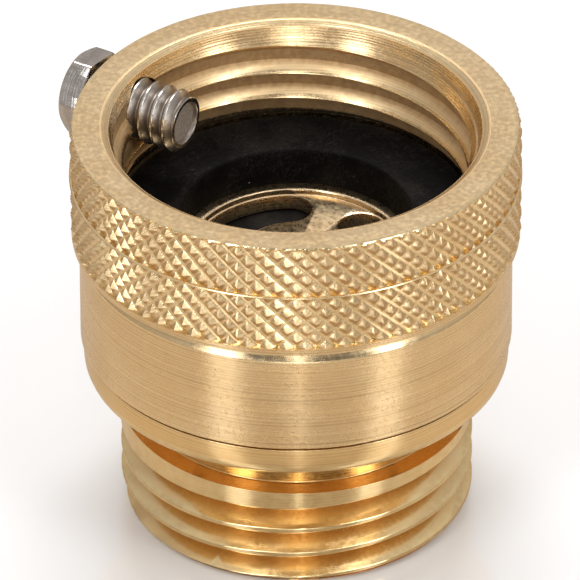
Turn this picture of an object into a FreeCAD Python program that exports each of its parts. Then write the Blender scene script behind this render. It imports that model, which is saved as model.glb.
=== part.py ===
import FreeCAD, Part
import math
import os

# Anti-siphon valve for a hose tap, in millimetres.
# Z is the valve's axis and points from the outlet up to the inlet.
# The origin is the centre of the flat end face of the outlet.
# The camera side of the photograph is -Y, and +X is its right side.

V = FreeCAD.Vector
Z_AXIS = V(0, 0, 1)
FULL_TURN = 360.0
OVERSHOOT = 1.0  # how far a cutting tool reaches past the face that it cuts

# Garden hose thread, 11.5 turns to the inch
thread_radius = 13.45  # crest of the outlet's thread
thread_pitch = 25.4 / 11.5
flank_slope = math.tan(math.radians(30))
outer_thread_height = 1.42
outer_crest_land = 0.30
outer_root_land = 0.22
inner_thread_height = 0.77  # the socket's crests are cut wide
inner_crest_land = 0.41
thread_allowance = 0.32  # the socket's thread is this much larger at its root

# Outlet nipple
outlet_wall = 3.03  # from the thread's root to the outlet bore
outlet_thread_length = 8.43
first_land = 1.20  # plain land at the top of the thread
outlet_edge_chamfer = 0.61
outlet_bore_chamfer = 0.40
neck_rise = 0.27  # the neck stands this much proud of the thread's root
neck_length = 3.37
flange_thickness = 2.64
flange_setback = 0.23  # the flange is this much smaller than the shell's band
flange_edge_radius = 1.2
spigot_height = 3.96  # the part of the nipple that goes up into the shell
clamp_rim_width = 0.95
vent_trough_width = 3.4
vent_trough_depth = 1.9
vent_seat_width = 0.9
vent_seat_round = 0.25
vent_gap = 0.9  # open gap between the slack diaphragm and the vent seat
bore_ledge_width = 0.8  # ledge that carries the guide spider
vent_hole_radius = 0.75
vent_hole_count = 8
vent_hole_from_neck = 0.25

# Body shell: knurled collar and smooth band in one piece
shell_wall = 1.33
shell_fit = 0.05  # clearance between the nipple's spigot and the shell
collar_step = 0.705  # the collar is this much larger than the band
collar_top_bevel_width = 0.285
collar_top_bevel_height = 0.28
knurl_length = 8.66
strip_length = 0.60  # plain strip under the knurl
strip_setback = 0.13
undercut_length = 0.75
undercut_depth = 0.33  # below the band's surface
band_top_bevel = 0.25
band_bottom_bevel = 0.12

# Inlet socket, measured down from the top face
socket_depth = 11.2
mouth_bevel_width = 0.43
mouth_bevel_height = 0.31
lead_in_width = 0.48  # the lead-in narrows by this much on its way down
lead_in_height = 1.80
lead_in_step = 0.13  # its foot stands this much inside the thread's root
first_ridge_depth = 3.52  # top edge of the first ridge's crest
ridge_count = 2

# Hose washer in the socket
washer_thickness = 3.1
washer_fit = 0.15
washer_band = 4.82  # ring width from its hole to its outside
washer_edge_round = 0.25

# Slotted seat plate
plate_thickness = 1.8
plate_fit = 0.10
plate_recess_depth = 0.5
plate_recess_inset = 0.8  # the recess is this much smaller than the washer's hole
plate_rim_round = 0.42
slot_count = 3
slot_half_width = 1.785
slot_middle_radius = 6.135
slot_span = 61.0  # degrees between the two end circles of a slot
slot_middle_angle = 5.3  # degrees, of the first slot

# Diaphragm
diaphragm_thickness = 1.6
diaphragm_fit = 0.15
diaphragm_hole_radius = 4.0
diaphragm_edge_round = 0.3

# Spring-loaded check
seal_gap = 0.05
check_disc_radius = 6.0
check_disc_thickness = 1.2
check_disc_edge = 0.15
cup_wall = 0.45
cup_floor = 0.5
cup_fit = 0.04
cup_rim_below_disc = 0.3  # the rim stops this far below the disc's face
stem_radius = 1.0
stem_fit = 0.05
stem_head_radius = 1.8
stem_head_height = 0.5
stem_head_chamfer = 0.15
stem_end_length = 0.8
stem_end_chamfer = 0.25

# Spring of round stainless wire
spring_wire_radius = 0.30
spring_mean_radius = 2.9
spring_length = 6.0
spring_turns = 4.5
spring_seat_gap = 0.02
spring_least_gap = 0.4
spring_path_samples = 24  # measuring points in each quarter turn

# Guide spider in the outlet bore
spider_height = 2.2
spider_ring_width = 1.1
spider_fit = 0.03
spider_hub_radius = 3.7
spider_hub_foot_radius = 2.4
spider_hub_top_height = 0.9
spider_arm_width = 1.5
spider_arm_count = 3
spider_arm_overlap = 0.2
spider_turn = 30.0  # degrees, of the first arm

# Clip on the stem
clip_thickness = 0.5
clip_radius = 2.2
clip_gap = 0.4  # between the clip and the spider's hub while the check is shut
clip_groove_depth = 0.3
clip_groove_fit = 0.03
clip_mouth = 1.2

# Break-off set screw, lying along a radius of the collar
screw_angle = 149.0  # degrees round from +X
screw_depth = 3.14  # below the top face
screw_tip_at = 9.67  # distance of its point from the valve's axis
screw_radius = 2.415
screw_fit = 0.045
screw_pitch = 25.4 / 24
screw_thread_height = 0.56
screw_crest_land = 0.16
screw_root_land = 0.12
screw_point_radius = 2.0
screw_point_length = 0.42
screw_cup_radius = 1.68
screw_cup_depth = 0.35
screw_neck_radius = 1.45
screw_neck_length = 0.60
screw_neck_in_head = 0.5  # how far the neck runs on inside the head
screw_head_gap = 0.21  # between the head and the collar
screw_head_thickness = 1.95
screw_head_across_flats = 6.0
screw_head_edge_height = 0.45
screw_head_edge_width = 0.62
screw_head_turn = 8.5  # degrees, how the hexagon stands

# Heights that follow
flange_bottom = outlet_thread_length + neck_length
seam_height = flange_bottom + flange_thickness
clamp_height = seam_height + spigot_height
plate_bottom = clamp_height + diaphragm_thickness
plate_top = plate_bottom + plate_thickness
top_height = plate_top + socket_depth
vent_seat_height = clamp_height - vent_gap
trough_floor = vent_seat_height - vent_trough_depth
disc_top = clamp_height - seal_gap
disc_bottom = disc_top - check_disc_thickness
cup_bottom = disc_bottom - cup_floor
hub_top = cup_bottom - spring_length
ledge_height = hub_top - spider_height
clip_top = ledge_height - clip_gap
clip_bottom = clip_top - clip_thickness
stem_bottom = clip_bottom - stem_end_length

# Radii that follow
thread_root = thread_radius - outer_thread_height
outlet_bore = thread_root - outlet_wall
neck_radius = thread_root + neck_rise
spider_bore = outlet_bore + bore_ledge_width
vent_seat_outer = spider_bore + vent_seat_width
trough_outer = vent_seat_outer + vent_trough_width
spigot_radius = trough_outer + clamp_rim_width
cavity_radius = spigot_radius + shell_fit
band_radius = cavity_radius + shell_wall
collar_radius = band_radius + collar_step
strip_radius = collar_radius - strip_setback
flange_radius = band_radius - flange_setback
vent_circle_radius = neck_radius + vent_hole_from_neck + vent_hole_radius
socket_root = thread_radius + thread_allowance
washer_radius = socket_root - washer_fit
washer_hole = washer_radius - washer_band
plate_radius = cavity_radius - plate_fit
plate_recess_radius = washer_hole - plate_recess_inset
screw_head_bottom_at = collar_radius + screw_head_gap
screw_head_top_at = screw_head_bottom_at + screw_head_thickness


def line(a, b):
    """Straight edge between two (radius, height) points of a turned profile."""
    return Part.makeLine(V(a[0], 0, a[1]), V(b[0], 0, b[1]))


def arc_between(start, knee, end):
    """Arc from start to end that is tangent to the two equal legs through knee."""
    middle = (start + end) * 0.5
    half = (end - start).Length / 2
    half_turn = math.acos(min(1.0, half / (knee - start).Length))
    outward = (knee - middle).normalize()
    return Part.Arc(start, middle + outward * (half * math.tan(half_turn / 2)), end).toShape()


def towards(point, other, distance):
    """The point that lies a distance from point on the way to other."""
    share = distance / math.dist(point, other)
    return (point[0] + (other[0] - point[0]) * share, point[1] + (other[1] - point[1]) * share)


def turned(points, rounds=None):
    """Solid of revolution of a closed (radius, height) outline.

    rounds gives, for a point's number, how far its rounding reaches along both sides.
    """
    rounds = rounds or {}
    count = len(points)
    corners = []
    for number, point in enumerate(points):
        size = rounds.get(number)
        if not size:
            corners.append((point, point, None))
            continue
        before, after = points[number - 1], points[(number + 1) % count]
        corners.append((towards(point, before, size), towards(point, after, size), point))
    edges = []
    for number in range(count):
        start, end, sharp = corners[number]
        if sharp:
            places = [V(place[0], 0, place[1]) for place in (start, sharp, end)]
            edges.append(arc_between(*places))
        next_start = corners[(number + 1) % count][0]
        if math.dist(end, next_start) > 1e-9:
            edges.append(line(end, next_start))
    face = Part.Face(Part.Wire(edges))
    return face.revolve(V(0, 0, 0), Z_AXIS, FULL_TURN)


def groove_ring(surface_radius, bottom_radius, low, high, floor_width):
    """Ring-shaped cutter for one V groove of an outside thread, open past the surface."""
    middle = (low + high) / 2
    past = surface_radius + OVERSHOOT
    return turned(
        [
            (past, low),
            (surface_radius, low),
            (bottom_radius, middle - floor_width / 2),
            (bottom_radius, middle + floor_width / 2),
            (surface_radius, high),
            (past, high),
        ]
    )


def socket_ridges():
    """Outline points of the ridges of the socket's thread, from the top down."""
    crest = socket_root - inner_thread_height
    flank_rise = inner_thread_height * flank_slope
    points = []
    for number in range(ridge_count):
        high = top_height - first_ridge_depth - number * thread_pitch
        low = high - inner_crest_land
        points += [(socket_root, high + flank_rise), (crest, high)]
        points += [(crest, low), (socket_root, low - flank_rise)]
    return points


def body_shell():
    """Knurled collar and smooth band, with the hose socket and the cavity for the working parts."""
    knurl_bottom = top_height - collar_top_bevel_height - knurl_length
    strip_bottom = knurl_bottom - strip_length
    undercut_bottom = strip_bottom - undercut_length
    undercut_radius = band_radius - undercut_depth
    lead_in_foot_radius = socket_root - lead_in_step
    lead_in_radius = lead_in_foot_radius + lead_in_width
    lead_in_top = top_height - mouth_bevel_height
    lead_in_foot = lead_in_top - lead_in_height
    shell = turned(
        [
            (lead_in_radius + mouth_bevel_width, top_height),
            (collar_radius - collar_top_bevel_width, top_height),
            (collar_radius, top_height - collar_top_bevel_height),
            (collar_radius, knurl_bottom),
            (strip_radius, knurl_bottom),
            (strip_radius, strip_bottom),
            (undercut_radius, strip_bottom),
            (undercut_radius, undercut_bottom),
            (band_radius, undercut_bottom - band_top_bevel),
            (band_radius, seam_height + band_bottom_bevel),
            (band_radius - band_bottom_bevel, seam_height),
            (cavity_radius, seam_height),
            (cavity_radius, plate_top),
            (socket_root, plate_top),
            *reversed(socket_ridges()),
            (socket_root, lead_in_foot - lead_in_step * flank_slope),
            (lead_in_foot_radius, lead_in_foot),
            (lead_in_radius, lead_in_top),
        ]
    )
    hole = Part.makeCylinder(screw_radius + screw_fit, collar_radius + OVERSHOOT)
    return shell.cut(along_screw_axis(hole))


def outlet_nipple():
    """Outlet with its hose thread, neck and flange, and the spigot that holds the vent seat."""
    chamfer = outlet_edge_chamfer
    nipple = turned(
        [
            (outlet_bore + outlet_bore_chamfer, 0),
            (thread_radius - chamfer, 0),
            (thread_radius, chamfer),
            (thread_radius, outlet_thread_length),
            (neck_radius, outlet_thread_length),
            (neck_radius, flange_bottom),
            (flange_radius, flange_bottom),
            (flange_radius, seam_height),
            (spigot_radius, seam_height),
            (spigot_radius, clamp_height),
            (trough_outer, clamp_height),
            (trough_outer, trough_floor),
            (vent_seat_outer, trough_floor),
            (vent_seat_outer, vent_seat_height),
            (spider_bore, vent_seat_height),
            (spider_bore, ledge_height),
            (outlet_bore, ledge_height),
            (outlet_bore, outlet_bore_chamfer),
        ],
        {6: flange_edge_radius, 13: vent_seat_round, 14: vent_seat_round},
    )
    groove_top = outlet_thread_length - first_land
    while groove_top > chamfer + outer_crest_land:
        groove_bottom = groove_top - (thread_pitch - outer_crest_land)
        cutter = groove_ring(thread_radius, thread_root, groove_bottom, groove_top, outer_root_land)
        nipple = nipple.cut(cutter)
        groove_top -= thread_pitch
    for number in range(vent_hole_count):
        hole = Part.makeCylinder(
            vent_hole_radius,
            trough_floor - flange_bottom + 2 * OVERSHOOT,
            V(vent_circle_radius, 0, flange_bottom - OVERSHOOT),
        )
        hole.rotate(V(0, 0, 0), Z_AXIS, FULL_TURN * number / vent_hole_count)
        nipple = nipple.cut(hole)
    return nipple


def inlet_washer():
    """Black rubber hose washer that lies on the seat plate."""
    low, high = plate_top, plate_top + washer_thickness
    outline = [(washer_hole, low), (washer_radius, low), (washer_radius, high), (washer_hole, high)]
    return turned(outline, {2: washer_edge_round, 3: washer_edge_round})


def seat_plate():
    """Brass plate with kidney slots that let the water onto the diaphragm."""
    face = plate_top - plate_recess_depth
    plate = turned(
        [(0, plate_bottom), (plate_radius, plate_bottom), (plate_radius, plate_top)]
        + [(plate_recess_radius, plate_top), (plate_recess_radius, face), (0, face)],
        {3: plate_rim_round},
    )
    for number in range(slot_count):
        middle = slot_middle_angle + number * FULL_TURN / slot_count
        plate = plate.cut(kidney_slot(middle, face))
    return plate


def kidney_slot(middle_angle, face):
    """Curved slot with round ends, cut through the plate's recessed face."""
    low = plate_bottom - OVERSHOOT
    height = face - plate_bottom + 2 * OVERSHOOT
    outer = Part.makeCylinder(slot_middle_radius + slot_half_width, height, V(0, 0, low), Z_AXIS, slot_span)
    inner = Part.makeCylinder(slot_middle_radius - slot_half_width, height, V(0, 0, low))
    slot = outer.cut(inner)
    for turn in (0, slot_span):
        end = Part.makeCylinder(slot_half_width, height, V(slot_middle_radius, 0, low))
        end.rotate(V(0, 0, 0), Z_AXIS, turn)
        slot = slot.fuse(end)
    slot.rotate(V(0, 0, 0), Z_AXIS, middle_angle - slot_span / 2)
    return slot


def diaphragm():
    """Rubber ring that shuts the vents under pressure and seals the check without it."""
    low, high = clamp_height, plate_bottom
    outer = cavity_radius - diaphragm_fit
    outline = [(diaphragm_hole_radius, low), (outer, low), (outer, high), (diaphragm_hole_radius, high)]
    return turned(outline, {3: diaphragm_edge_round})


def check_disc():
    """Rubber disc that presses up against the diaphragm."""
    inner, outer, edge = stem_radius + cup_fit, check_disc_radius, check_disc_edge
    return turned(
        [(inner, disc_bottom), (outer, disc_bottom), (outer, disc_top - edge)]
        + [(outer - edge, disc_top), (inner, disc_top)]
    )


def disc_cup():
    """Stainless cup that carries the check disc and takes the spring."""
    inner = check_disc_radius + cup_fit
    outer = inner + cup_wall
    rim = disc_top - cup_rim_below_disc
    hole = stem_radius + cup_fit
    return turned(
        [(hole, cup_bottom), (outer, cup_bottom), (outer, rim), (inner, rim)]
        + [(inner, disc_bottom), (hole, disc_bottom)],
        {1: cup_wall},
    )


def check_stem():
    """Stainless stem with a low head, guided by the spider, with a groove for its clip."""
    head_bottom = disc_top
    head_top = head_bottom + stem_head_height
    groove = stem_radius - clip_groove_depth
    groove_top = clip_top + clip_groove_fit
    groove_bottom = clip_bottom - clip_groove_fit
    return turned(
        [
            (0, stem_bottom),
            (stem_radius - stem_end_chamfer, stem_bottom),
            (stem_radius, stem_bottom + stem_end_chamfer),
            (stem_radius, groove_bottom),
            (groove, groove_bottom),
            (groove, groove_top),
            (stem_radius, groove_top),
            (stem_radius, head_bottom),
            (stem_head_radius, head_bottom),
            (stem_head_radius, head_top - stem_head_chamfer),
            (stem_head_radius - stem_head_chamfer, head_top),
            (0, head_top),
        ]
    )


def stem_clip():
    """Open ring that snaps into the stem's groove."""
    inner = stem_radius - clip_groove_depth + clip_groove_fit
    ring = Part.makeCylinder(clip_radius, clip_thickness, V(0, 0, clip_bottom))
    ring = ring.cut(Part.makeCylinder(inner, clip_thickness, V(0, 0, clip_bottom)))
    mouth = Part.makeBox(
        clip_radius + OVERSHOOT,
        clip_mouth,
        clip_thickness + 2 * OVERSHOOT,
        V(0, -clip_mouth / 2, clip_bottom - OVERSHOOT),
    )
    return ring.cut(mouth)


def guide_spider():
    """Ring, three arms and a hub that guides the stem and carries the spring."""
    outer = spider_bore - spider_fit
    ring = turned(
        [(outer - spider_ring_width, ledge_height), (outer, ledge_height)]
        + [(outer, hub_top), (outer - spider_ring_width, hub_top)]
    )
    foot_top = hub_top - spider_hub_top_height
    hole = stem_radius + stem_fit
    hub = turned(
        [(hole, ledge_height), (spider_hub_foot_radius, ledge_height), (spider_hub_foot_radius, foot_top)]
        + [(spider_hub_radius, foot_top), (spider_hub_radius, hub_top), (hole, hub_top)]
    )
    spider = ring.fuse(hub)
    start = spider_hub_foot_radius - spider_arm_overlap
    length = outer - spider_ring_width + spider_arm_overlap - start
    for number in range(spider_arm_count):
        corner = V(start, -spider_arm_width / 2, ledge_height)
        arm = Part.makeBox(length, spider_arm_width, spider_height, corner)
        arm.rotate(V(0, 0, 0), Z_AXIS, spider_turn + number * FULL_TURN / spider_arm_count)
        spider = spider.fuse(arm)
    return spider.removeSplitter()


def spring_point(turn):
    """Point and unit direction of the spring's centre line, after so many turns."""
    low = hub_top + spring_seat_gap + spring_wire_radius
    rise = spring_length - 2 * (spring_seat_gap + spring_wire_radius)
    angle = 2 * math.pi * turn
    point = V(
        spring_mean_radius * math.cos(angle),
        spring_mean_radius * math.sin(angle),
        low + rise * turn / spring_turns,
    )
    around = 2 * math.pi * spring_mean_radius
    direction = V(-around * math.sin(angle), around * math.cos(angle), rise / spring_turns)
    return point, direction.normalize()


def biarc(first, last):
    """Two tangent arcs between two points with their directions."""
    (start, leave), (end, arrive) = first, last
    span = end - start
    both = leave + arrive
    spread = 2 * (1 - leave.dot(arrive))
    along = span.dot(both)
    leg = (-along + math.sqrt(along * along + spread * span.dot(span))) / spread
    knee_a, knee_b = start + leave * leg, end - arrive * leg
    join = (knee_a + knee_b) * 0.5
    return [arc_between(start, knee_a, join), arc_between(join, knee_b, end)]


def spring_gap(quarters):
    """Least clear gap between the wire and itself, one turn or more apart, measured on points."""
    count = quarters * spring_path_samples
    points = [spring_point(spring_turns * number / count)[0] for number in range(count + 1)]
    near = int(count / spring_turns * 0.6)
    least = min(
        (points[i] - points[j]).Length for i in range(count + 1) for j in range(i + near, count + 1)
    )
    return least - 2 * spring_wire_radius


def check_spring():
    """Helical spring between the guide spider and the disc cup, one unbroken wire."""
    quarters = round(spring_turns * 4)
    stations = [spring_point(spring_turns * number / quarters) for number in range(quarters + 1)]
    edges = []
    for number in range(quarters):
        edges += biarc(stations[number], stations[number + 1])
    point, direction = stations[0]
    section = Part.Wire([Part.makeCircle(spring_wire_radius, point, direction)])
    gap = spring_gap(quarters)
    print(f"spring: least gap between turns {gap:.2f} mm, wanted over {spring_least_gap} mm")
    return Part.Wire(edges).makePipeShell([section], True, False)


def along_screw_axis(shape):
    """Place a shape that was made along Z on the set screw's axis, Z pointing outwards."""
    shape.rotate(V(0, 0, 0), V(0, 1, 0), FULL_TURN / 4)
    shape.rotate(V(0, 0, 0), Z_AXIS, screw_angle)
    shape.translate(V(0, 0, top_height - screw_depth))
    return shape


def set_screw():
    """Break-off set screw: cup point, threaded shank, thin neck and hexagon head."""
    shank_end = screw_head_bottom_at - screw_neck_length
    point_end = screw_tip_at + screw_point_length
    shank = turned(
        [
            (0, screw_tip_at + screw_cup_depth),
            (screw_cup_radius, screw_tip_at + screw_cup_depth),
            (screw_cup_radius, screw_tip_at),
            (screw_point_radius, screw_tip_at),
            (screw_radius, point_end),
            (screw_radius, shank_end),
            (screw_neck_radius, shank_end),
            (screw_neck_radius, screw_head_bottom_at + screw_neck_in_head),
            (0, screw_head_bottom_at + screw_neck_in_head),
        ]
    )
    groove_top = shank_end - screw_crest_land
    root = screw_radius - screw_thread_height
    while groove_top - (screw_pitch - screw_crest_land) > point_end:
        groove_bottom = groove_top - (screw_pitch - screw_crest_land)
        shank = shank.cut(groove_ring(screw_radius, root, groove_bottom, groove_top, screw_root_land))
        groove_top -= screw_pitch
    screw = shank.fuse(hexagon_head())
    return along_screw_axis(screw.removeSplitter())


def hexagon_head():
    """Hexagon head along Z whose outer edge is turned to a cone."""
    corner = screw_head_across_flats / math.sqrt(3)
    points = []
    for number in range(7):
        angle = math.radians(90 + screw_head_turn + 60 * number)
        points.append(V(corner * math.cos(angle), corner * math.sin(angle), screw_head_bottom_at))
    prism = Part.Face(Part.makePolygon(points)).extrude(V(0, 0, screw_head_thickness))
    cone_foot = screw_head_top_at - screw_head_edge_height
    blank = turned(
        [
            (0, screw_head_bottom_at),
            (corner, screw_head_bottom_at),
            (corner, cone_foot),
            (corner - screw_head_edge_width, screw_head_top_at),
            (0, screw_head_top_at),
        ]
    )
    return prism.common(blank)


PIECES = {
    "body_shell": body_shell,
    "outlet_nipple": outlet_nipple,
    "set_screw": set_screw,
    "inlet_washer": inlet_washer,
    "seat_plate": seat_plate,
    "diaphragm": diaphragm,
    "check_disc": check_disc,
    "disc_cup": disc_cup,
    "check_stem": check_stem,
    "stem_clip": stem_clip,
    "check_spring": check_spring,
    "guide_spider": guide_spider,
}

os.makedirs("parts", exist_ok=True)
for name, make in PIECES.items():
    piece = make()
    solid = piece.Solids[0]
    print(f"{name}: {len(piece.Solids)} solid, {solid.Volume:.1f} mm3, valid {solid.isValid()}")
    solid.exportStep(f"parts/{name}.step")
print(f"overall height {top_height:.2f} mm, collar diameter {2 * collar_radius:.2f} mm")
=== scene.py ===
# %% [markdown]
# # A brass anti-siphon valve for a hose tap
# The valve screws onto a tap, and a garden hose screws onto the valve. All its brass is turned on a
# lathe, so almost every surface is a line swept round one upright axis. This lesson builds each
# piece from such a line, adds what breaks the roundness (the knurl, the screw threads, the slots)
# and then gives each metal and rubber its finish.
#
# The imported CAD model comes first. It fixes where each piece is and how it moves, and every piece
# made here takes the place of one of its nodes.

import math

import bmesh
import bpy
import numpy as np
from mathutils import Matrix, Vector


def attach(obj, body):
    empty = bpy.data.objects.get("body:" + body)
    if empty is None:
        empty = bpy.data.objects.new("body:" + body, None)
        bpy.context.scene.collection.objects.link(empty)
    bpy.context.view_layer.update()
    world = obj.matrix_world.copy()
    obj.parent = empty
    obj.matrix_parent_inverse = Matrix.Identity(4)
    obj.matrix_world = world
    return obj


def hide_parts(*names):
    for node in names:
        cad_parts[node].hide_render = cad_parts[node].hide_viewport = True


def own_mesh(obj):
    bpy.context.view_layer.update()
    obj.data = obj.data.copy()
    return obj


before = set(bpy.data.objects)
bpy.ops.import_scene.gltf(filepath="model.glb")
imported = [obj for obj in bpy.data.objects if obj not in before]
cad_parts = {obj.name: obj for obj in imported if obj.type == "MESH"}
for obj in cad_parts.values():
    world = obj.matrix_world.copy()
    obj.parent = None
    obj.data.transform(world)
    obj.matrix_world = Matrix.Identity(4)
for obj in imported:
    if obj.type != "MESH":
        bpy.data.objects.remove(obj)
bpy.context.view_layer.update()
MM = 0.001

# %% [markdown]
# ## The camera
# The photograph was taken from far away with a long lens, because the two sides of the collar stay
# parallel in it. A camera that stands 0.9 m away and looks down by 34 degrees gives the same view.
# One millimetre of the valve covers 13.15 pixels of the 580 pixel picture, which sets the lens.

# %% Camera
PICTURE_PIXELS = 580
PIXELS_PER_MM = 13.15
CAMERA_ELEVATION = math.radians(34.2)
CAMERA_DISTANCE = 0.9
CAMERA_ROLL = math.radians(-0.25)
SENSOR_WIDTH = 36.0
look_at = Vector((-0.46, 0, 17.9)) * MM

camera_data = bpy.data.cameras.new("camera")
camera_data.sensor_width = SENSOR_WIDTH
view_width = PICTURE_PIXELS / PIXELS_PER_MM * MM
camera_data.lens = SENSOR_WIDTH * CAMERA_DISTANCE / view_width
camera_data.clip_start, camera_data.clip_end = 0.05, 20
camera = bpy.data.objects.new("camera", camera_data)
bpy.context.scene.collection.objects.link(camera)
away = Vector((0, -math.cos(CAMERA_ELEVATION), math.sin(CAMERA_ELEVATION)))
eye = look_at + away * CAMERA_DISTANCE
facing = (-away).to_track_quat("-Z", "Y").to_matrix().to_4x4()
camera.matrix_world = Matrix.Translation(eye) @ facing @ Matrix.Rotation(CAMERA_ROLL, 4, "Z")
bpy.context.scene.camera = camera
print("lens", round(camera_data.lens), "mm")

# %% [markdown]
# ## From an outline to a mesh
# A lathe turns a line into a surface, and so do the next helpers. They take rows, each a radius and
# a height, and put a ring of points at every row. A radius or height may also be a list with one
# number for each column of the ring. That is how the knurl and the threads come in: they are rings
# whose points are not all at the same radius or height.
#
# Blender's Spin tool or Screw modifier could sweep a plain outline, but not rings that change as
# they go round. So numpy works out the points and the faces are made between them. Up to three
# more numbers go with each row and reach the finishes later: how much of an edge it is, where hands
# and tools polish the metal, how much dirt and painted shade darken it, and how grainy it is.

# %% Helper that makes a mesh object
def add_mesh(name, points, faces, marks=None):
    """A mesh object from points in millimetres, arrays of face corners, and values per point."""
    mesh = bpy.data.meshes.new(name)
    mesh.vertices.add(len(points))
    mesh.vertices.foreach_set("co", (np.asarray(points, float) * MM).ravel())
    corners = np.concatenate([np.asarray(part).ravel() for part in faces])
    sizes = np.concatenate([np.full(len(part), len(part[0])) for part in faces])
    mesh.loops.add(len(corners))
    mesh.loops.foreach_set("vertex_index", corners)
    mesh.polygons.add(len(sizes))
    mesh.polygons.foreach_set("loop_start", np.concatenate([[0], np.cumsum(sizes)[:-1]]))
    mesh.update(calc_edges=True)
    for mark, values in (marks or {}).items():
        layer = mesh.attributes.new(mark, "FLOAT", "POINT")
        layer.data.foreach_set("value", np.asarray(values, np.float32).ravel())
    piece = bpy.data.objects.new(name, mesh)
    bpy.context.scene.collection.objects.link(piece)
    return piece


# %% [markdown]
# The rings are made open, with the last column on top of the first, and are welded at the end. A
# screw thread needs this, because after one turn each of its rows meets the row one turn higher.
#
# The weld also removes what has no area, such as the ring of points where a row meets the axis.

# %% Helper that welds and shades
WELD = 0.0004


def finish_mesh(piece, sharp_degrees=32):
    """Joins points that lie on each other, turns all faces outwards and shades them smoothly."""
    shape = bmesh.new()
    shape.from_mesh(piece.data)
    bmesh.ops.remove_doubles(shape, verts=shape.verts, dist=WELD * MM)
    bmesh.ops.recalc_face_normals(shape, faces=shape.faces)
    open_edges = sum(1 for edge in shape.edges if len(edge.link_faces) != 2)
    shape.to_mesh(piece.data)
    shape.free()
    mesh = piece.data
    mesh.polygons.foreach_set("use_smooth", np.ones(len(mesh.polygons), bool))
    mesh.set_sharp_from_angle(angle=math.radians(sharp_degrees))
    triangles = sum(len(face.vertices) - 2 for face in mesh.polygons)
    print(f"{piece.name}: {triangles} triangles, {open_edges} open edges")
    return piece


# %% [markdown]
# Nearly all points here lie at a radius and an angle round the Z axis. Some also lie a little
# sideways of that radius, such as the sides of an arm that reaches outwards.

# %% Helpers for what lies round the axis
def round_axis(radius, angle, height, sideways=0.0):
    """Points at a radius, an angle and a height. Sideways is square to the radius."""
    cosine, sine = np.cos(angle), np.sin(angle)
    x, y = radius * cosine - sideways * sine, radius * sine + sideways * cosine
    return np.stack(np.broadcast_arrays(x, y, height), -1)


def evenly_spread(count, first=0.0):
    """The angles of so many equal things round the axis."""
    return first + 2 * math.pi * np.arange(count) / count


# %% [markdown]
# The knurl needs many columns, the plain surfaces few. A turned piece is therefore a list of
# blocks, each with its own number of columns, and a strip of triangles joins one block to the next.

# %% Helper that places the points of a block
MARKS = ("edge", "dirt_and_shade", "grain")


def ring_points(rows, columns, first):
    """Points and marks of one block of rows, and the numbers of its points, one row per ring."""
    parts = []
    for number in range(2 + len(MARKS)):
        values = [row[number] if number < len(row) else 0 for row in rows]
        parts.append(np.array([np.broadcast_to(value, columns + 1) for value in values]))
    radius, height = parts[:2]
    angle = 2 * math.pi * np.arange(columns + 1) / columns
    points = round_axis(radius, angle, height)
    numbers = first + np.arange(radius.size).reshape(radius.shape)
    return points.reshape(-1, 3), [part.ravel() for part in parts[2:]], numbers


# %% Helpers that make the faces
def block_faces(numbers, split=None):
    """Squares between the rings of a block. Where split is 1 or 2, a square is two triangles."""
    squares = np.stack([numbers[:-1, :-1], numbers[:-1, 1:], numbers[1:, 1:], numbers[1:, :-1]], -1)
    if split is None:
        return [squares.reshape(-1, 4)]
    rising, falling = squares[split == 1], squares[split == 2]
    return [
        squares[split == 0],
        rising[:, [0, 1, 2]],
        rising[:, [0, 2, 3]],
        falling[:, [0, 1, 3]],
        falling[:, [1, 2, 3]],
    ]


def strip_faces(low, high):
    """Triangles between two rings that may have different numbers of points."""
    if len(low) == len(high):
        return np.stack([low[:-1], low[1:], high[1:], high[:-1]], -1)
    faces = []
    a = b = 0
    while a < len(low) - 1 or b < len(high) - 1:
        if (a + 1) * (len(high) - 1) <= (b + 1) * (len(low) - 1):
            faces.append((low[a], low[a + 1], high[b]))
            a += 1
        else:
            faces.append((low[a], high[b + 1], high[b]))
            b += 1
    return np.array(faces)


# %% Helper that turns a piece
def turn(name, blocks, closed=True, sharp_degrees=32, place=None):
    """A turned piece from blocks of (rows, columns) or (rows, columns, split)."""
    points, marks, faces, rings = [], [], [], []
    count = 0
    for block in blocks:
        spots, block_marks, numbers = ring_points(block[0], block[1], count)
        count += len(spots)
        points.append(spots)
        marks.append(block_marks)
        faces += block_faces(numbers, block[2] if len(block) > 2 else None)
        rings.append((numbers[0], numbers[-1]))
    for number in range(len(rings) if closed else len(rings) - 1):
        faces.append(strip_faces(rings[number][1], rings[(number + 1) % len(rings)][0]))
    points = np.concatenate(points)
    if place is not None:
        points = place(points)
    marks = {mark: np.concatenate(parts) for mark, parts in zip(MARKS, zip(*marks))}
    faces = [part for part in faces if len(part)]
    return finish_mesh(add_mesh(name, points, faces, marks), sharp_degrees)


# %% [markdown]
# A turned corner is never quite sharp. The next helper rounds each corner of an outline a little
# and marks the rounding as an edge. A point of an outline is a radius and a height. It may add the
# size of its own rounding, where 0 keeps the corner, and how much dirt and painted shade darken it.

# %% Helper that rounds the corners of an outline
MOST_OF_SIDE = 0.45  # the share of a side that one rounding may take
ROUNDING_START = 0.3  # how much of an edge a rounding is where it begins and ends


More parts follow.
